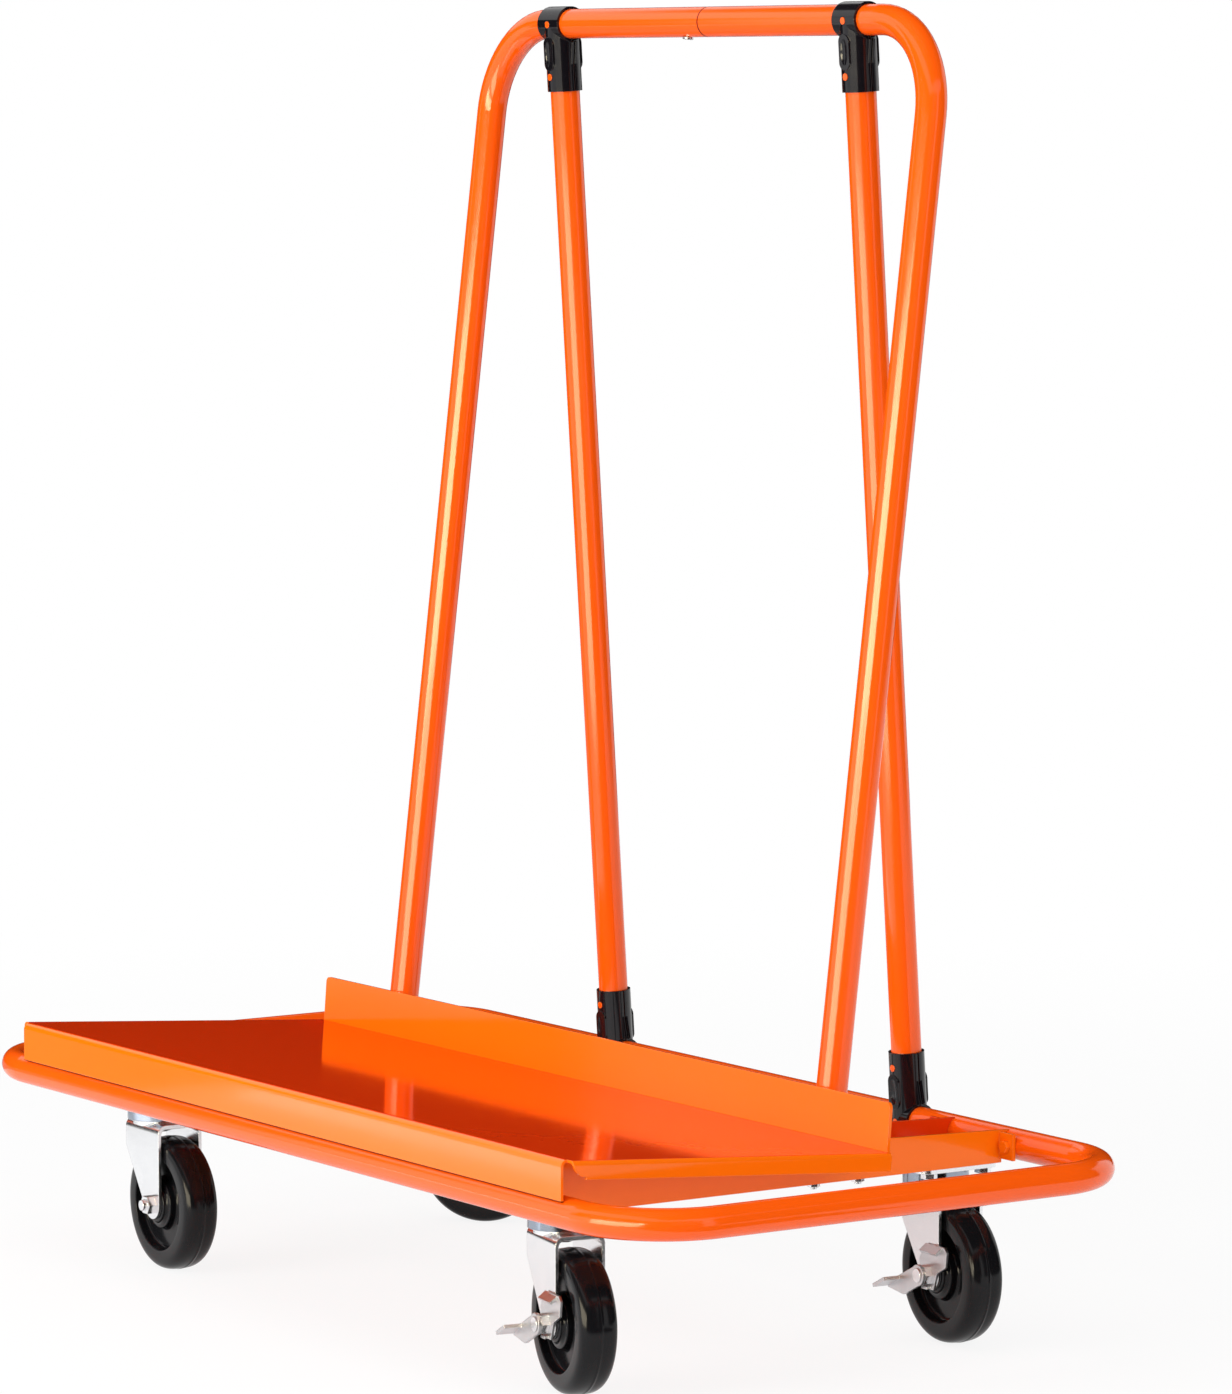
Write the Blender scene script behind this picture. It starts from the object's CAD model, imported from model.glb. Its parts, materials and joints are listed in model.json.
"""Looks of a drywall cart: its finishes, moulded wheels and shaded edge lines, and a plain studio."""

import json
import logging
import math
from dataclasses import dataclass
from enum import Enum

import bpy
from mathutils import Matrix, Vector

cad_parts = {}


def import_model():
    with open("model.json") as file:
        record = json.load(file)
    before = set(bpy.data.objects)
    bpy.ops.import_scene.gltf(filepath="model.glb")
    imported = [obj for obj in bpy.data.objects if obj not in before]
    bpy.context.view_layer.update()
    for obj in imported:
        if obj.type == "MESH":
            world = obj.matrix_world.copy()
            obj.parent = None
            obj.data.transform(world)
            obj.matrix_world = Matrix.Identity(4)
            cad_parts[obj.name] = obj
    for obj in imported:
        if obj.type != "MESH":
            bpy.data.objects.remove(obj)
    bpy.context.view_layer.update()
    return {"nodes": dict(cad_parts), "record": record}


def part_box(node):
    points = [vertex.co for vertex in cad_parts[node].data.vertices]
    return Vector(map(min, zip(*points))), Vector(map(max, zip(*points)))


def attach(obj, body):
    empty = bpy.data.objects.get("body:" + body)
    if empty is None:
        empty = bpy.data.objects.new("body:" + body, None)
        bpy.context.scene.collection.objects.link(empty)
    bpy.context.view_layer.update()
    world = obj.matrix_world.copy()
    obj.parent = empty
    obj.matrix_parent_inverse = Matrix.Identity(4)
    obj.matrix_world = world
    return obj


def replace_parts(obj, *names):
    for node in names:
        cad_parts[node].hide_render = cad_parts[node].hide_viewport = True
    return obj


LOG = logging.getLogger("drywall_cart")
MM = 0.001


class Spot(Enum):
    """The four places of a caster under the cart."""

    FRONT_LEFT = "front_left"
    FRONT_RIGHT = "front_right"
    REAR_LEFT = "rear_left"
    REAR_RIGHT = "rear_right"

    @property
    def braked(self) -> bool:
        """Whether the caster here has a foot brake."""
        return self in (Spot.FRONT_RIGHT, Spot.REAR_RIGHT)


class Graph:
    """A shader tree that is being written."""

    def __init__(self, tree: bpy.types.NodeTree) -> None:
        """Starts from an empty tree.

        Args:
            tree: the node tree of a material, a world or a group.
        """
        self.tree = tree
        tree.nodes.clear()

    def add(self, kind: str, values: dict | None = None, **settings: object) -> bpy.types.Node:
        """Adds one node.

        Args:
            kind: the node's type name without its ShaderNode prefix.
            values: plain numbers and colours for its input sockets, by socket name or index.
            settings: the node's own properties.

        Returns:
            The new node.
        """
        prefix = "" if kind.startswith("NodeGroup") else "ShaderNode"
        node = self.tree.nodes.new(prefix + kind)
        for name, value in settings.items():
            setattr(node, name, value)
        for name, value in (values or {}).items():
            node.inputs[name].default_value = value
        return node

    def link(self, start: bpy.types.NodeSocket, end: bpy.types.NodeSocket) -> None:
        """Joins an output socket to an input socket."""
        self.tree.links.new(start, end)

    def math(self, operation: str, first: bpy.types.NodeSocket, second: object) -> bpy.types.NodeSocket:
        """Adds a math node.

        Args:
            operation: the node's operation.
            first: its first input.
            second: its second input, a socket or a number.

        Returns:
            The result's socket.
        """
        node = self.add("Math", operation=operation)
        self.link(first, node.inputs[0])
        if isinstance(second, bpy.types.NodeSocket):
            self.link(second, node.inputs[1])
        else:
            node.inputs[1].default_value = second
        return node.outputs[0]

    def mix(self, factor: bpy.types.NodeSocket, first: object, second: object) -> bpy.types.NodeSocket:
        """Mixes two colours, each a socket or a plain colour, by a factor socket.

        Args:
            factor: how much of the second colour is taken.
            first: the colour at 0.
            second: the colour at 1.

        Returns:
            The mixed colour's socket.
        """
        node = self.add("Mix", data_type="RGBA")
        self.link(factor, node.inputs[0])
        for colour, socket in ((first, node.inputs[6]), (second, node.inputs[7])):
            if isinstance(colour, bpy.types.NodeSocket):
                self.link(colour, socket)
            else:
                socket.default_value = (*colour, 1.0)
        return node.outputs[2]

    def span(self, value: bpy.types.NodeSocket, low: float, high: float) -> bpy.types.NodeSocket:
        """Maps a value from 0..1 to another range.

        Args:
            value: the value's socket.
            low: what 0 becomes.
            high: what 1 becomes.

        Returns:
            The mapped value's socket.
        """
        node = self.add("MapRange", {"To Min": low, "To Max": high})
        self.link(value, node.inputs["Value"])
        return node.outputs["Result"]


class Effect:
    """A shader node group with named inputs and outputs, built once and placed in many materials."""

    name = "effect"
    inputs: dict[str, float] = {}
    outputs: tuple[str, ...] = ()

    def __init__(self) -> None:
        """Builds the group with its sockets."""
        self.group = bpy.data.node_groups.new(self.name, "ShaderNodeTree")
        for socket, value in self.inputs.items():
            made = self.group.interface.new_socket(socket, in_out="INPUT", socket_type="NodeSocketFloat")
            made.default_value = value
        for socket in self.outputs:
            kind = "NodeSocketVector" if socket == "Normal" else "NodeSocketFloat"
            self.group.interface.new_socket(socket, in_out="OUTPUT", socket_type=kind)
        graph = Graph(self.group)
        self.draw(graph, graph.add("NodeGroupInput").outputs, graph.add("NodeGroupOutput").inputs)

    def draw(self, graph: Graph, given: object, result: object) -> None:
        """Writes the group's nodes between its input and output sockets."""
        raise NotImplementedError

    def place(self, graph: Graph, **values: float) -> bpy.types.NodeOutputs:
        """Places the group in a material.

        Args:
            graph: the material's tree.
            values: the material's own values for the group's inputs.

        Returns:
            The placed node's outputs.
        """
        node = graph.add("Group", node_tree=self.group)
        for name, value in values.items():
            node.inputs[name].default_value = value
        return node.outputs


class OrangePeel(Effect):
    """The slight ripple of sprayed paint, with slow changes of tone and gloss."""

    name = "orange_peel"
    inputs = {"Ripple": 420.0, "Cloud": 6.0}
    outputs = ("Height", "Tone", "Gloss")
    gloss_scale = 5.0

    def draw(self, graph: Graph, given: object, result: object) -> None:
        """Writes a fine noise for the ripple and two coarse ones for tone and gloss.

        Args:
            graph: the group's tree.
            given: the group's input sockets.
            result: the group's output sockets.
        """
        place = graph.add("TexCoord").outputs["Object"]
        fine = graph.add("TexNoise", {"Detail": 2.0, "Roughness": 0.4})
        tone = graph.add("TexNoise", {"Detail": 4.0, "Roughness": 0.55})
        gloss = graph.add("TexNoise", {"Detail": 6.0, "Roughness": 0.6, "Distortion": 0.6})
        for noise in (fine, tone, gloss):
            graph.link(place, noise.inputs["Vector"])
        graph.link(given["Ripple"], fine.inputs["Scale"])
        graph.link(given["Cloud"], tone.inputs["Scale"])
        graph.link(graph.math("MULTIPLY", given["Cloud"], self.gloss_scale), gloss.inputs["Scale"])
        graph.link(fine.outputs[0], result["Height"])
        graph.link(tone.outputs[0], result["Tone"])
        graph.link(gloss.outputs[0], result["Gloss"])


class SoftEdge(Effect):
    """The small radius of a real edge: a rounded normal, and a mask along the edge."""

    name = "soft_edge"
    inputs = {"Radius": 0.0008}
    outputs = ("Normal", "Mask")
    bevel_samples = 6
    mask_gain = 6.0

    def draw(self, graph: Graph, given: object, result: object) -> None:
        """Compares the rounded normal with the face's own one to find the edges.

        Args:
            graph: the group's tree.
            given: the group's input sockets.
            result: the group's output sockets.
        """
        bevel = graph.add("Bevel", samples=self.bevel_samples)
        graph.link(given["Radius"], bevel.inputs["Radius"])
        facing = graph.add("VectorMath", operation="DOT_PRODUCT")
        graph.link(bevel.outputs[0], facing.inputs[0])
        graph.link(graph.add("NewGeometry").outputs["Normal"], facing.inputs[1])
        bend = graph.add("Math", {0: 1.0}, operation="SUBTRACT")
        graph.link(facing.outputs["Value"], bend.inputs[1])
        strength = graph.add("Math", {1: self.mask_gain}, operation="MULTIPLY", use_clamp=True)
        graph.link(bend.outputs[0], strength.inputs[0])
        graph.link(bevel.outputs[0], result["Normal"])
        graph.link(strength.outputs[0], result["Mask"])


class Streaks(Effect):
    """Fine uneven streaks that rolling, plating or handling leaves on metal and plastic."""

    name = "streaks"
    inputs = {"Scale": 60.0, "Stretch": 9.0}
    outputs = ("Streak", "Bloom")
    bloom_scale = 0.5

    def draw(self, graph: Graph, given: object, result: object) -> None:
        """Stretches one noise across the height for streaks and leaves another round for bloom.

        Args:
            graph: the group's tree.
            given: the group's input sockets.
            result: the group's output sockets.
        """
        place = graph.add("TexCoord").outputs["Object"]
        along = graph.add("CombineXYZ", {"X": 1.0, "Y": 1.0})
        graph.link(given["Stretch"], along.inputs["Z"])
        squeezed = graph.add("VectorMath", operation="MULTIPLY")
        graph.link(place, squeezed.inputs[0])
        graph.link(along.outputs[0], squeezed.inputs[1])
        streak = graph.add("TexNoise", {"Detail": 5.0, "Roughness": 0.65})
        bloom = graph.add("TexNoise", {"Detail": 3.0, "Roughness": 0.5, "Distortion": 1.2})
        graph.link(squeezed.outputs[0], streak.inputs["Vector"])
        graph.link(place, bloom.inputs["Vector"])
        graph.link(given["Scale"], streak.inputs["Scale"])
        graph.link(graph.math("MULTIPLY", given["Scale"], self.bloom_scale), bloom.inputs["Scale"])
        graph.link(streak.outputs[0], result["Streak"])
        graph.link(bloom.outputs[0], result["Bloom"])


@dataclass
class Effects:
    """The effects that the cart's finishes share."""

    peel: OrangePeel
    edge: SoftEdge
    streaks: Streaks

    @classmethod
    def build(cls) -> "Effects":
        """Builds each group once."""
        return cls(OrangePeel(), SoftEdge(), Streaks())


@dataclass(frozen=True)
class Finish:
    """What every finish has: a name, a slot of the record, a colour and a gloss.

    The colours are linear, and the gloss is the range of the surface's roughness.
    """

    name: str
    slot: str
    colour: tuple[float, float, float]
    second: tuple[float, float, float]
    gloss: tuple[float, float]
    edge_radius: float = 0.8 * MM

    def shader(self, graph: Graph) -> bpy.types.Node:
        """Adds the surface shader and the material's output.

        Args:
            graph: the material's tree.

        Returns:
            The surface shader.
        """
        shader = graph.add("BsdfPrincipled")
        graph.link(shader.outputs[0], graph.add("OutputMaterial").inputs["Surface"])
        return shader

    def bump(self, graph: Graph, height: bpy.types.NodeSocket, depth: float, normal: bpy.types.NodeSocket,
             shader: bpy.types.Node) -> None:
        """Feeds the shader's normal from a height and a rounded normal.

        Args:
            graph: the material's tree.
            height: the height's socket, 0 to 1.
            depth: what 1 stands for, in metres.
            normal: the normal under the bump.
            shader: the surface shader.
        """
        bump = graph.add("Bump", {"Strength": 1.0, "Distance": depth})
        graph.link(height, bump.inputs["Height"])
        graph.link(normal, bump.inputs["Normal"])
        graph.link(bump.outputs[0], shader.inputs["Normal"])

    def material(self, effects: Effects) -> bpy.types.Material:
        """Builds the material.

        Args:
            effects: the shared effects.

        Returns:
            The new material.
        """
        made = bpy.data.materials.new(self.name)
        made.use_nodes = True
        graph = Graph(made.node_tree)
        self.draw(graph, self.shader(graph), effects)
        return made

    def draw(self, graph: Graph, shader: bpy.types.Node, effects: Effects) -> None:
        """Writes the finish's own nodes."""
        raise NotImplementedError


@dataclass(frozen=True)
class SprayedPaint(Finish):
    """Paint or powder coat: a little ripple, slow tone changes and lighter edges."""

    ripple: float = 420.0
    ripple_depth: float = 0.006 * MM
    edge_tone: tuple[float, float, float] = (1.0, 0.30, 0.10)
    edge_share: float = 0.35
    shine: float = 0.4
    glint: tuple[float, float, float] = (1.0, 0.95, 0.82)

    def body(self, graph: Graph, tone: bpy.types.NodeSocket) -> bpy.types.NodeSocket:
        """Returns the coat's colour away from the edges."""
        return graph.mix(tone, self.colour, self.second)

    def draw(self, graph: Graph, shader: bpy.types.Node, effects: Effects) -> None:
        """Mixes the two tones, lightens the edges and varies the gloss.

        Args:
            graph: the material's tree.
            shader: the surface shader.
            effects: the shared effects.
        """
        peel = effects.peel.place(graph, Ripple=self.ripple)
        edge = effects.edge.place(graph, Radius=self.edge_radius)
        worn = graph.math("MULTIPLY", edge["Mask"], self.edge_share)
        colour = graph.mix(worn, self.body(graph, peel["Tone"]), self.edge_tone)
        graph.link(colour, shader.inputs["Base Color"])
        graph.link(graph.span(peel["Gloss"], *self.gloss), shader.inputs["Roughness"])
        shader.inputs["Specular IOR Level"].default_value = self.shine
        shader.inputs["Specular Tint"].default_value = (*self.glint, 1.0)
        self.bump(graph, peel["Height"], self.ripple_depth, edge["Normal"], shader)


@dataclass(frozen=True)
class DeckPaint(SprayedPaint):
    """The tray's coat, which is deeper on its floor, where it was sprayed thick."""

    floor: tuple[float, float, float] = (0.90, 0.046, 0.001)
    floor_from: float = 0.90
    floor_full: float = 0.99

    def body(self, graph: Graph, tone: bpy.types.NodeSocket) -> bpy.types.NodeSocket:
        """Mixes the coat's colour, with the deeper one on the faces that look up.

        Args:
            graph: the material's tree.
            tone: the slow change of tone, 0 to 1.

        Returns:
            The colour's socket.
        """
        parts = graph.add("SeparateXYZ")
        graph.link(graph.add("NewGeometry").outputs["Normal"], parts.inputs[0])
        up = graph.add("MapRange", {"From Min": self.floor_from, "From Max": self.floor_full})
        graph.link(parts.outputs["Z"], up.inputs["Value"])
        return graph.mix(up.outputs["Result"], graph.mix(tone, self.colour, self.second), self.floor)


@dataclass(frozen=True)
class PlatedSteel(Finish):
    """Bright plated steel with faint streaks and a cloudy bloom."""

    scale: float = 70.0
    grain_depth: float = 0.004 * MM

    def draw(self, graph: Graph, shader: bpy.types.Node, effects: Effects) -> None:
        """Varies the colour by the bloom and the gloss by the streaks.

        Args:
            graph: the material's tree.
            shader: the surface shader.
            effects: the shared effects.
        """
        streaks = effects.streaks.place(graph, Scale=self.scale)
        edge = effects.edge.place(graph, Radius=self.edge_radius)
        graph.link(graph.mix(streaks["Bloom"], self.colour, self.second), shader.inputs["Base Color"])
        graph.link(graph.span(streaks["Streak"], *self.gloss), shader.inputs["Roughness"])
        shader.inputs["Metallic"].default_value = 1.0
        self.bump(graph, streaks["Streak"], self.grain_depth, edge["Normal"], shader)


@dataclass(frozen=True)
class MouldedBlack(Finish):
    """Hard black moulding, smooth, with faint rubbed streaks and paler edges."""

    scale: float = 45.0
    grain_depth: float = 0.01 * MM
    edge_tone: tuple[float, float, float] = (0.09, 0.09, 0.095)
    shine: float = 0.3

    def draw(self, graph: Graph, shader: bpy.types.Node, effects: Effects) -> None:
        """Varies the black by the bloom and pales the edges.

        Args:
            graph: the material's tree.
            shader: the surface shader.
            effects: the shared effects.
        """
        streaks = effects.streaks.place(graph, Scale=self.scale, Stretch=1.0)
        edge = effects.edge.place(graph, Radius=self.edge_radius)
        body = graph.mix(streaks["Bloom"], self.colour, self.second)
        graph.link(graph.mix(edge["Mask"], body, self.edge_tone), shader.inputs["Base Color"])
        graph.link(graph.span(streaks["Streak"], *self.gloss), shader.inputs["Roughness"])
        shader.inputs["Specular IOR Level"].default_value = self.shine
        self.bump(graph, streaks["Bloom"], self.grain_depth, edge["Normal"], shader)


ORANGE_TUBE = SprayedPaint("orange_tube_coat", "orange_paint", (0.94, 0.106, 0.003), (0.90, 0.095, 0.002),
                           (0.08, 0.16), shine=0.55)
ORANGE_SHEET = SprayedPaint("orange_sheet_coat", "orange_paint", (0.95, 0.165, 0.003), (0.92, 0.148, 0.002),
                            (0.05, 0.11), ripple=160.0, ripple_depth=0.002 * MM)
ORANGE_DECK = DeckPaint("orange_deck_coat", "orange_paint", (0.95, 0.165, 0.003), (0.92, 0.148, 0.002),
                        (0.05, 0.11), ripple=160.0, ripple_depth=0.002 * MM)
BLACK_CLAMP = SprayedPaint("black_clamp_enamel", "black_enamel",
                           (0.004, 0.0035, 0.0045), (0.007, 0.006, 0.008), (0.05, 0.15),
                           edge_tone=(0.04, 0.04, 0.05), edge_share=0.12, glint=(1.0, 1.0, 1.0))
ORANGE_INNER = SprayedPaint("orange_inner_coat", "orange_paint", (0.78, 0.045, 0.002), (0.70, 0.035, 0.001),
                            (0.12, 0.22), shine=0.3)
SEAM_SHADE = SprayedPaint("seam_shade", "orange_paint", (0.13, 0.010, 0.003), (0.08, 0.006, 0.002),
                          (0.5, 0.7), edge_share=0.0, shine=0.1)
ZINC = PlatedSteel("bright_zinc", "zinc_plate", (0.90, 0.905, 0.92), (0.82, 0.83, 0.85), (0.14, 0.30))
BRAKE_STEEL = PlatedSteel("satin_brake_steel", "zinc_plate", (0.74, 0.74, 0.76), (0.56, 0.56, 0.58),
                          (0.26, 0.44))
RACE_STEEL = PlatedSteel("blued_race_steel", "zinc_plate", (0.42, 0.47, 0.55), (0.24, 0.27, 0.33),
                         (0.08, 0.2))
DARK_STEEL = PlatedSteel("dark_sleeve_steel", "zinc_plate", (0.012, 0.010, 0.009), (0.02, 0.016, 0.014),
                         (0.4, 0.6))
WHEEL_BLACK = MouldedBlack("black_wheel_moulding", "wheel_black",
                           (0.005, 0.005, 0.006), (0.008, 0.008, 0.009), (0.09, 0.20), shine=0.22)


@dataclass
class Dresser:
    """Gives the frame's nodes their materials, and adds pieces to the cart."""

    nodes: dict[str, bpy.types.Object]
    effects: Effects

    def __post_init__(self) -> None:
        """Starts with no material made."""
        self.made: dict[str, bpy.types.Material] = {}

    def material(self, finish: Finish) -> bpy.types.Material:
        """Gives a finish's material, built on its first use.

        Args:
            finish: the finish.

        Returns:
            The material.
        """
        if finish.name not in self.made:
            self.made[finish.name] = finish.material(self.effects)
        return self.made[finish.name]

    def dress(self, finish: Finish, *names: str) -> None:
        """Puts a finish on frame nodes.

        Args:
            finish: the finish.
            names: the nodes' names.
        """
        for name in names:
            slots = self.nodes[name].data.materials
            slots.clear()
            slots.append(self.material(finish))
            LOG.info("%s: %s", name, finish.name)

    def add(self, mesh: bpy.types.Mesh, body: str, finish: Finish) -> bpy.types.Object:
        """Adds a piece that has its mesh's name.

        Args:
            mesh: the piece's mesh.
            body: the body that it rides on.
            finish: its finish.

        Returns:
            The piece.
        """
        mesh.materials.append(self.material(finish))
        piece = bpy.data.objects.new(mesh.name, mesh)
        bpy.context.scene.collection.objects.link(piece)
        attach(piece, body)
        LOG.info("%s: %s", piece.name, finish.name)
        return piece


def revolve(name: str, section: list[tuple[float, float]], centre: Vector, axis: Vector,
            turns: int) -> bpy.types.Mesh:
    """Revolves a closed section round an axis.

    Args:
        name: the mesh's name.
        section: the section's points, each a radius and a place along the axis in millimetres.
        centre: the middle of the piece in metres.
        axis: the axis, of length 1.
        turns: the number of steps round.

    Returns:
        A closed, smooth mesh.
    """
    first = axis.orthogonal().normalized()
    second = axis.cross(first)
    corners = []
    for turn in range(turns):
        angle = 2 * math.pi * turn / turns
        out = first * math.cos(angle) + second * math.sin(angle)
        corners.extend(centre + (out * radius + axis * along) * MM for radius, along in section)
    count = len(section)
    faces = []
    for turn in range(turns):
        here, after = turn * count, (turn + 1) % turns * count
        for step in range(count):
            ahead = (step + 1) % count
            faces.append((here + step, here + ahead, after + ahead, after + step))
    made = bpy.data.meshes.new(name)
    made.from_pydata(corners, [], faces)
    made.shade_smooth()
    return made


@dataclass
class BaseFrame:
    """The tube loop with its cross beams, leg feet and their fasteners."""

    beams: tuple[str, ...] = ("left_outer", "left_inner", "right_inner", "right_outer")
    sides: tuple[str, ...] = ("left", "right")

    def dress(self, dresser: Dresser) -> None:
        """Coats the loop, the beams with their screws and the feet orange, and plates the other bolts.

        Args:
            dresser: the maker of materials.
        """
        dresser.dress(ORANGE_TUBE, "base_rail")
        for beam in self.beams:
            dresser.dress(ORANGE_INNER if beam.endswith("inner") else ORANGE_SHEET, f"cross_beam_{beam}")
        dresser.dress(ORANGE_SHEET, *(f"leg_foot_{side}" for side in self.sides))
        dresser.dress(ORANGE_SHEET, "beam_screws")
        dresser.dress(ZINC, "foot_bolts", "leg_cross_bolts")


@dataclass
class Deck:
    """The sloping sheet and its back stop, with the sizes of the front flange's edge line in millimetres."""

    flange_len: float = 930.0
    flange_z: float = 188.0
    sheet_t: float = 2.5
    line_h: float = 0.7

    def build(self, dresser: Dresser) -> None:
        """Lays the shaded line along the front flange's lower edge, where the coat runs thick and dark.

        Args:
            dresser: the maker of materials.
        """
        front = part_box("deck_tray")[0][1]
        start = Vector((-self.flange_len / 2 * MM, front, (self.flange_z - self.line_h) * MM))
        size = Vector((self.flange_len, self.sheet_t, self.line_h)) * MM
        corners = [start + Vector((size.x * x, size.y * y, size.z * z))
                   for z in (0, 1) for x, y in ((0, 0), (1, 0), (1, 1), (0, 1))]
        faces = [(3, 2, 1, 0), (4, 5, 6, 7), (0, 1, 5, 4), (1, 2, 6, 5), (2, 3, 7, 6), (3, 0, 4, 7)]
        mesh = bpy.data.meshes.new("flange_edge_line")
        mesh.from_pydata(corners, [], faces)
        dresser.add(mesh, "frame", SEAM_SHADE)

    def dress(self, dresser: Dresser) -> None:
        """Coats the sheets orange."""
        dresser.dress(ORANGE_DECK, "deck_tray")
        dresser.dress(ORANGE_SHEET, "back_stop")


@dataclass
class UprightFrame:
    """The two legs with the split top rail, the struts and their clamps."""

    sides: tuple[str, ...] = ("left", "right")
    ends: tuple[str, ...] = ("bottom", "top")
    halves: tuple[str, ...] = ("front", "rear")
    tube_r: float = 14.0
    seam_half: float = 0.8
    seam_rise: float = 0.05
    seam_depth: float = 0.6
    seam_turns: int = 96

    def build(self, dresser: Dresser) -> None:
        """Lays the shaded line of the joint round the top rail, where its halves meet.

        Args:
            dresser: the maker of materials.
        """
        low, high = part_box("rail_sleeve")
        centre = (Vector(low) + Vector(high)) / 2
        half = self.seam_half
        inner, outer = self.tube_r - self.seam_depth, self.tube_r + self.seam_rise
        section = [(inner, half), (outer, half), (outer, -half), (inner, -half)]
        mesh = revolve("rail_seam_line", section, centre, Vector((1.0, 0.0, 0.0)), self.seam_turns)
        dresser.add(mesh, "frame", SEAM_SHADE)

    def dress(self, dresser: Dresser) -> None:
        """Coats the tubes orange and the clamps black, and leaves the sleeve in the rail's seam dark.

        Args:
            dresser: the maker of materials.
        """
        for side in self.sides:
            dresser.dress(ORANGE_TUBE, f"upright_{side}", f"strut_{side}")
            for end in self.ends:
                dresser.dress(BLACK_CLAMP, *(f"clamp_{end}_{side}_{half}" for half in self.halves))
        dresser.dress(ORANGE_TUBE, "clamp_rivets")
        dresser.dress(DARK_STEEL, "rail_sleeve")
        dresser.dress(ZINC, "rail_sleeve_screw")


@dataclass(frozen=True)
class WheelForm:
    """A moulded wheel's half outline, revolved: hub, collar, web, rim and a full round tread.

    The radii and the half widths along the axle are in millimetres. The tread follows a superellipse
    from the rim's side to the middle, where the mould's parting line stands a little proud.
    """

    bore_r: float = 7.05
    hub_r: float = 17.0
    hub_half: float = 19.5
    collar_r: float = 23.0
    collar_half: float = 15.5
    web_half: float = 7.0
    rim_r: float = 44.0
    half: float = 17.5
    side_r: float = 50.0
    tread_r: float = 63.2
    fullness: float = 3.0
    edge_r: float = 1.0
    recess_r: float = 4.0
    line_rise: float = 0.3
    line_half: float = 0.7
    turns: int = 144
    arc_steps: int = 6
    tread_steps: int = 28

    def arc(self, centre: tuple[float, float], radius: float, start: float,
            sweep: float) -> list[tuple[float, float]]:
        """Returns points along an arc.

        Args:
            centre: the arc's centre, as a radius and a half width.
            radius: the arc's own radius.
            start: the angle of its first point in degrees.
            sweep: how far it turns in degrees.

        Returns:
            The points in order.
        """
        angles = (math.radians(start + sweep * step / self.arc_steps) for step in range(self.arc_steps + 1))
        return [(centre[0] + radius * math.cos(a), centre[1] + radius * math.sin(a)) for a in angles]

    def tread(self) -> list[tuple[float, float]]:
        """Follows the tread from the rim's side to the parting line.

        Returns:
            Its points, each a radius and a half width.
        """
        points = []
        for step in range(1, self.tread_steps + 1):
            turn = math.pi / 2 * (1 - step / self.tread_steps)
            reach = (self.tread_r - self.side_r) * math.cos(turn) ** (2 / self.fullness)
            wide = self.half * max(math.sin(turn), 0.0) ** (2 / self.fullness)
            if wide > 2 * self.line_half:
                points.append((self.side_r + reach, wide))
        points.append((self.tread_r, self.line_half))
        points.append((self.tread_r + self.line_rise, self.line_half / 2))
        return points

    def outline(self) -> list[tuple[float, float]]:
        """Follows half of the wheel's section from the bore to the parting line.

        Returns:
            Its points, each a radius and a half width.
        """
        edge, recess = self.edge_r, self.recess_r
        return [
            (self.bore_r, self.hub_half),
            *self.arc((self.hub_r - edge, self.hub_half - edge), edge, 90.0, -90.0),
            (self.hub_r, self.collar_half),
            *self.arc((self.collar_r - edge, self.collar_half - edge), edge, 90.0, -90.0),
            *self.arc((self.collar_r + recess, self.web_half + recess), recess, 180.0, 90.0),
            *self.arc((self.rim_r - recess, self.web_half + recess), recess, 270.0, 90.0),
            *self.arc((self.rim_r + edge, self.half - edge), edge, 180.0, -90.0),
            (self.side_r, self.half),
            *self.tread(),
        ]

    def section(self) -> list[tuple[float, float]]:
        """Returns the whole section, with the half outline mirrored."""
        half = self.outline()
        return half + [(radius, -wide) for radius, wide in reversed(half)]


@dataclass
class Caster:
    """One swivel caster."""

    spot: Spot
    form: WheelForm = WheelForm()

    def build(self, joints: list[dict], dresser: Dresser) -> None:
        """Moulds the wheel with its full round tread, in the place of the plainer solid.

        Args:
            joints: the record's joints, which give each axle's place.
            dresser: the maker of materials.
        """
        node = f"wheel_{self.spot.value}"
        axle = next(joint for joint in joints if joint["name"] == f"spin_{self.spot.value}")
        axis = Vector(axle["axis"]).normalized()
        mesh = revolve(f"moulded_{node}", self.form.section(), Vector(axle["pos_m"]), axis, self.form.turns)
        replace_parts(dresser.add(mesh, node, WHEEL_BLACK), node)

    def dress(self, dresser: Dresser) -> None:
        """Plates the steel and blackens the wheel.

        Args:
            dresser: the maker of materials.
        """
        name = self.spot.value
        dresser.dress(ZINC, *(f"{part}_{name}" for part in ("caster_plate", "fork", "axle", "wheel_bush")))
        dresser.dress(WHEEL_BLACK, f"wheel_{name}")
        if self.spot.braked:
            dresser.dress(BRAKE_STEEL, f"brake_plate_{name}", f"brake_lever_{name}")


@dataclass
class SwivelHeads:
    """The races, balls, kingpins and bolts of all four casters."""

    def dress(self, dresser: Dresser) -> None:
        """Plates them all, the races darker."""
        dresser.dress(RACE_STEEL, "swivel_races")
        dresser.dress(ZINC, "swivel_balls", "kingpins", "caster_bolts", "caster_nuts")


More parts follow.
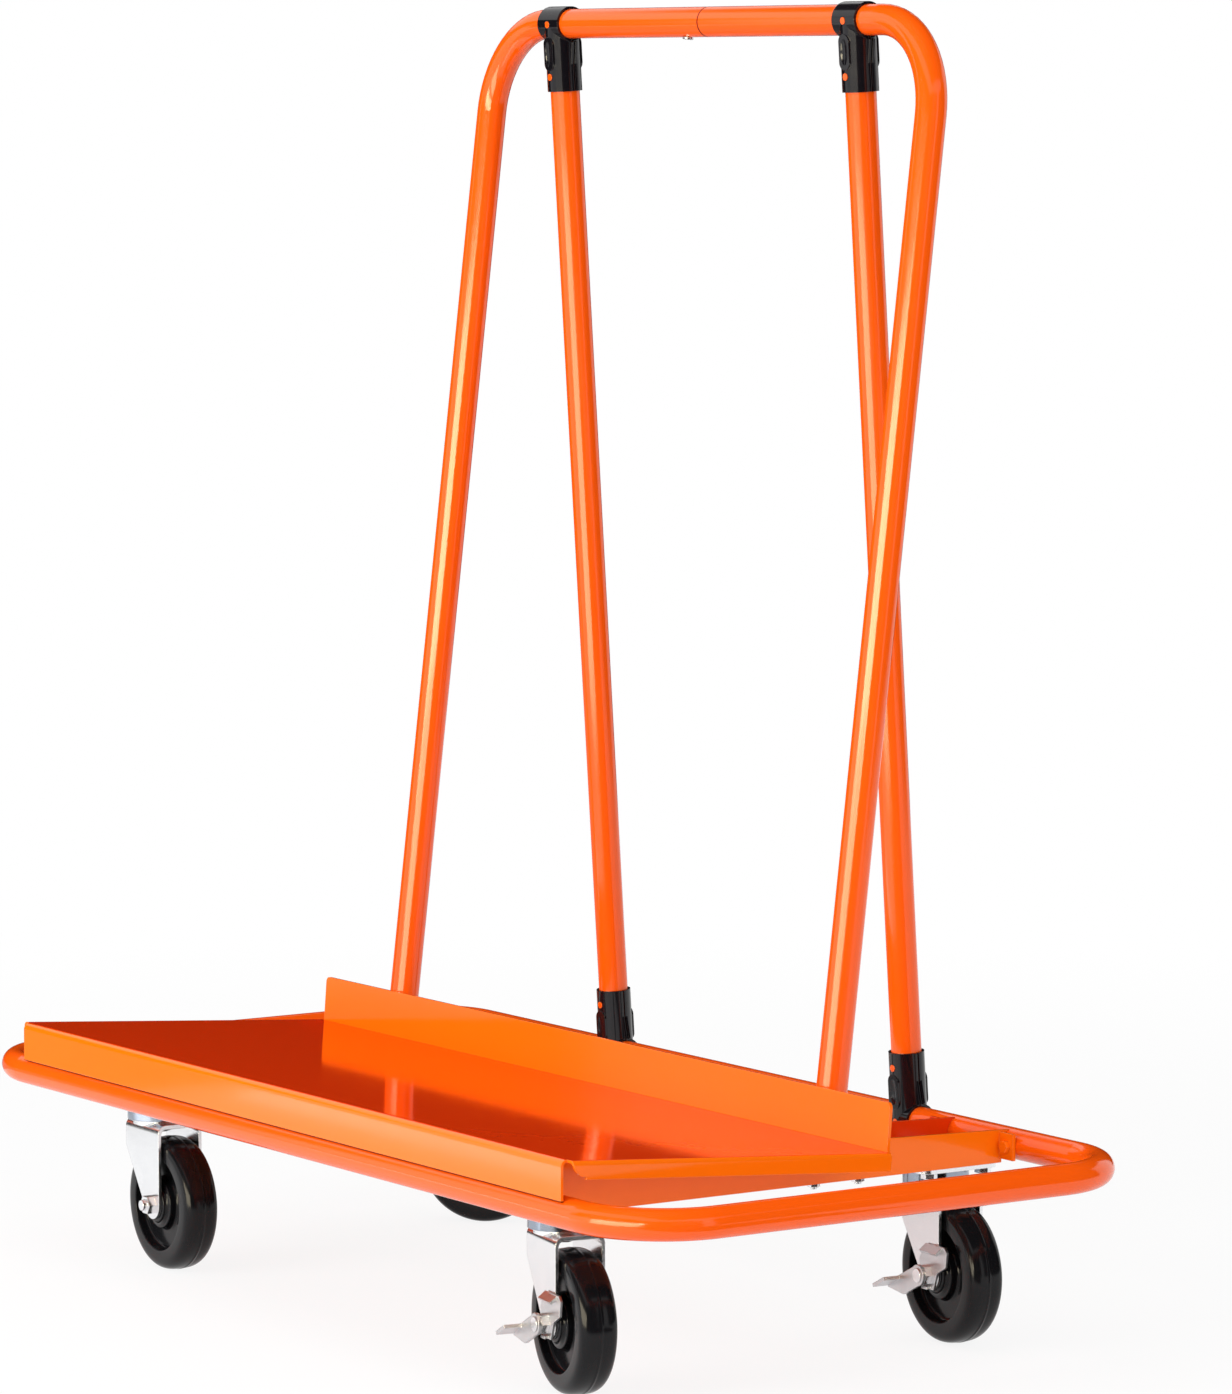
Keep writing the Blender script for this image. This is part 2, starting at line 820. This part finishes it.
@dataclass(frozen=True)
class Lamp:
    """A soft box, aimed at the middle of the cart, that leaves no highlight of its own.

    The bearing is in degrees from +X towards +Y, the sizes are in metres and the power in watts.
    """

    name: str
    bearing: float
    reach: float
    height: float
    size: tuple[float, float]
    power: float
    aim: tuple[float, float, float] = (0.0, 0.0, 0.45)

    def build(self) -> bpy.types.Object:
        """Makes the lamp.

        Returns:
            Its object.
        """
        light = bpy.data.lights.new(self.name, "AREA")
        light.shape = "RECTANGLE"
        light.size, light.size_y = self.size
        light.energy = self.power
        lamp = bpy.data.objects.new(self.name, light)
        turn = math.radians(self.bearing)
        lamp.location = (self.reach * math.cos(turn), self.reach * math.sin(turn), self.height)
        lamp.rotation_euler = (Vector(self.aim) - lamp.location).to_track_quat("-Z", "Y").to_euler()
        lamp.visible_camera = False
        lamp.visible_glossy = False
        bpy.context.scene.collection.objects.link(lamp)
        return lamp


@dataclass(frozen=True)
class Flag:
    """A board that only reflections see: a black cloth, or a bright card where it glows.

    The bearing is in degrees from +X towards +Y, and the sizes are in metres. A board stands upright
    and faces the cart, with its foot at a height of its own, or lies level there, square to the cart.
    """

    name: str
    bearing: float
    reach: float
    size: tuple[float, float]
    foot: float = 0.0
    level: bool = False
    glow: float = 0.0
    tint: tuple[float, float, float] = (1.0, 1.0, 1.0)
    cloth: float = 0.004

    def stand(self) -> Matrix:
        """Finds where the board stands or lies.

        Returns:
            Its place in the world.
        """
        turn = math.radians(self.bearing)
        height = self.foot if self.level else self.foot + self.size[1] / 2
        place = Matrix.Translation((self.reach * math.cos(turn), self.reach * math.sin(turn), height))
        if self.level:
            return place
        return place @ Matrix.Rotation(turn + math.pi / 2, 4, "Z") @ Matrix.Rotation(math.pi / 2, 4, "X")

    def material(self) -> bpy.types.Material:
        """Makes the board's black cloth or bright face.

        Returns:
            The material.
        """
        made = bpy.data.materials.new(f"studio_{self.name}")
        made.use_nodes = True
        graph = Graph(made.node_tree)
        if self.glow:
            face = graph.add("Emission", {"Color": (*self.tint, 1.0), "Strength": self.glow})
        else:
            face = graph.add("BsdfDiffuse", {"Color": (self.cloth,) * 3 + (1.0,)})
        graph.link(face.outputs[0], graph.add("OutputMaterial").inputs["Surface"])
        return made


@dataclass
class Studio:
    """A white floor and background with soft boxes and flags around the cart."""

    floor_half: float = 30.0
    floor_tone: float = 0.86
    floor_glow: float = 0.88
    floor_fade: tuple[float, float] = (0.9, 2.6)
    mirror_glow: float = 0.6
    mirror_fade: tuple[float, float] = (0.55, 1.2)
    ambient: float = 0.5
    flags: tuple[Flag, ...] = (
        Flag("back_flag", 140.0, 4.4, (4.6, 2.6)),
        Flag("left_flag", 184.0, 4.6, (5.2, 2.4)),
        Flag("right_flag", 46.0, 4.8, (5.0, 3.0)),
        Flag("camera_flag", 338.0, 8.0, (9.0, 5.0)),
        Flag("ceiling_flag", 90.0, 3.0, (12.0, 12.0), foot=5.2, level=True),
        Flag("left_floor_flag", 180.0, 3.6, (4.8, 3.8), foot=0.01, level=True, glow=0.3),
        Flag("camera_floor_flag", 329.5, 3.945, (5.3, 4.4), foot=0.01, level=True),
        Flag("front_flag", 268.0, 6.4, (13.0, 3.4), foot=1.95),
        Flag("far_card", 285.0, 6.0, (5.5, 1.0), foot=0.85, glow=17.0, tint=(1.0, 0.88, 0.62)),
        Flag("lower_card", 285.0, 2.2, (2.0, 0.75), glow=8.0, tint=(1.0, 0.9, 0.68)),
        Flag("near_card", 231.02, 0.7782, (1.18, 0.51), foot=0.02, level=True, glow=1.1),
        Flag("front_card", 244.34, 1.1316, (1.18, 0.32), foot=0.02, level=True, glow=2.8),
    )
    lamps: tuple[Lamp, ...] = (
        Lamp("main_box", 264.0, 4.2, 1.5, (3.0, 2.6), 176.0),
        Lamp("right_box", 355.0, 4.2, 1.8, (3.0, 2.4), 60.0),
        Lamp("top_box", 270.0, 0.9, 3.6, (3.0, 2.4), 40.0),
    )

    def seen_and_mirrored(self, graph: Graph) -> tuple[bpy.types.NodeSocket, bpy.types.NodeSocket]:
        """Sorts the rays that show the studio.

        Args:
            graph: the world's or the floor's tree.

        Returns:
            A mask of camera rays, and one of glossy and transmission rays.
        """
        path = graph.add("LightPath").outputs
        mirrored = graph.math("MAXIMUM", path["Is Glossy Ray"], path["Is Transmission Ray"])
        return path["Is Camera Ray"], mirrored

    def fade(self, graph: Graph, away: bpy.types.NodeSocket, span: tuple[float, float],
             glow: float) -> bpy.types.NodeSocket:
        """Returns the floor's glow, which rises to white with the distance from the cart.

        Args:
            graph: the floor's tree.
            away: the distance from the middle of the cart.
            span: the distances between which the glow rises.
            glow: the glow under the cart.

        Returns:
            The glow's socket.
        """
        ends = {"From Min": span[0], "From Max": span[1], "To Min": glow, "To Max": 1.0}
        node = graph.add("MapRange", ends, interpolation_type="SMOOTHSTEP")
        graph.link(away, node.inputs["Value"])
        return node.outputs[0]

    def light_world(self) -> None:
        """Makes the background white for the rays that show it, and a soft fill for the rest."""
        world = bpy.data.worlds.new("studio_world")
        world.use_nodes = True
        graph = Graph(world.node_tree)
        sky = graph.add("Background", {"Color": (1.0, 1.0, 1.0, 1.0)})
        shown = graph.math("MAXIMUM", *self.seen_and_mirrored(graph))
        graph.link(graph.span(shown, self.ambient, 1.0), sky.inputs["Strength"])
        graph.link(sky.outputs[0], graph.add("OutputWorld").inputs["Surface"])
        bpy.context.scene.world = world

    def floor_material(self) -> bpy.types.Material:
        """Makes a pale floor that glows white for the rays that show it and still takes a shadow.

        Returns:
            The material.
        """
        made = bpy.data.materials.new("studio_floor")
        made.use_nodes = True
        graph = Graph(made.node_tree)
        paint = graph.add("BsdfDiffuse", {"Color": (self.floor_tone,) * 3 + (1.0,)})
        glow = graph.add("Emission", {"Strength": 1.0})
        mixed = graph.add("MixShader")
        away = graph.add("VectorMath", operation="LENGTH")
        graph.link(graph.add("TexCoord").outputs["Object"], away.inputs[0])
        seen, mirrored = self.seen_and_mirrored(graph)
        seen_glow = self.fade(graph, away.outputs["Value"], self.floor_fade, self.floor_glow)
        mirror_glow = self.fade(graph, away.outputs["Value"], self.mirror_fade, self.mirror_glow)
        glows = graph.math("MULTIPLY", seen, seen_glow), graph.math("MULTIPLY", mirrored, mirror_glow)
        graph.link(graph.math("MAXIMUM", *glows), mixed.inputs[0])
        graph.link(paint.outputs[0], mixed.inputs[1])
        graph.link(glow.outputs[0], mixed.inputs[2])
        graph.link(mixed.outputs[0], graph.add("OutputMaterial").inputs["Surface"])
        return made

    def board(self, name: str, half_x: float, half_y: float,
              material: bpy.types.Material) -> bpy.types.Object:
        """Makes a flat stage board.

        Args:
            name: the board's name.
            half_x: half of its width in metres.
            half_y: half of its height in metres.
            material: its material.

        Returns:
            The board, lying on the floor round the origin.
        """
        mesh = bpy.data.meshes.new(name)
        corners = [(x * half_x, y * half_y, 0.0) for x, y in ((-1, -1), (1, -1), (1, 1), (-1, 1))]
        mesh.from_pydata(corners, [], [(0, 1, 2, 3)])
        mesh.materials.append(material)
        board = bpy.data.objects.new(name, mesh)
        bpy.context.scene.collection.objects.link(board)
        return board

    def build(self) -> None:
        """Lays the floor, stands the flags, hangs the lamps and lights the world."""
        self.board("studio_floor", self.floor_half, self.floor_half, self.floor_material())
        for flag in self.flags:
            board = self.board(flag.name, flag.size[0] / 2, flag.size[1] / 2, flag.material())
            board.matrix_world = flag.stand()
            board.visible_camera = False
            board.visible_diffuse = False
            board.visible_shadow = False
        for lamp in self.lamps:
            lamp.build()
            LOG.info("lamp %s", lamp.name)
        self.light_world()


@dataclass(frozen=True)
class PhotoCamera:
    """The camera of the photograph, found from the cart's tube edges.

    The bearing and the elevation are of the line from the cart to the camera, the pan and the
    rise move the aim across that line, and the centre is the image point on the lens axis.
    """

    image: tuple[float, float] = (1232.0, 1394.0)
    centre: tuple[float, float] = (611.57, 717.55)
    focal_px: float = 6293.3
    bearing: float = 55.948
    elevation: float = 5.738
    roll: float = -0.048
    reach: float = 5.8217
    pan: float = 0.0746
    rise: float = 0.5383
    frame_shift: float = -1.475 * MM
    film: float = 36.0

    def build(self) -> bpy.types.Object:
        """Makes the camera.

        Returns:
            Its object.
        """
        turn, lift = math.radians(self.bearing), math.radians(self.elevation)
        back = Vector((math.sin(turn) * math.cos(lift), -math.cos(turn) * math.cos(lift), math.sin(lift)))
        right = Vector((math.cos(turn), math.sin(turn), 0.0))
        up = back.cross(right)
        place = right * self.pan + up * self.rise + back * self.reach
        place.y += self.frame_shift
        axes = Matrix((right, up, back)).transposed() @ Matrix.Rotation(-math.radians(self.roll), 3, "Z")
        width, height = self.image
        lens = bpy.data.cameras.new("photo_camera")
        lens.sensor_width = self.film
        lens.lens = self.focal_px / max(self.image) * self.film
        lens.shift_x = (width / 2 - self.centre[0]) / max(self.image)
        lens.shift_y = (self.centre[1] - height / 2) / max(self.image)
        lens.clip_end = 200.0
        camera = bpy.data.objects.new("photo_camera", lens)
        camera.matrix_world = Matrix.Translation(place) @ axes.to_4x4()
        bpy.context.scene.collection.objects.link(camera)
        bpy.context.scene.camera = camera
        return camera


def main() -> None:
    """Loads the frame, builds and dresses the cart, and sets up the studio and the camera."""
    logging.basicConfig(level=logging.INFO, format="%(name)s: %(message)s")
    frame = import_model()
    PhotoCamera().build()
    dresser = Dresser(frame["nodes"], Effects.build())
    casters = [Caster(spot) for spot in Spot]
    deck, uprights = Deck(), UprightFrame()
    for assembly in (BaseFrame(), deck, uprights, SwivelHeads(), *casters):
        assembly.dress(dresser)
    deck.build(dresser)
    uprights.build(dresser)
    for caster in casters:
        caster.build(frame["record"]["behaviour"]["joints"], dresser)
    Studio().build()
    bpy.context.scene.view_settings.view_transform = "Standard"


if __name__ == "__main__":
    main()
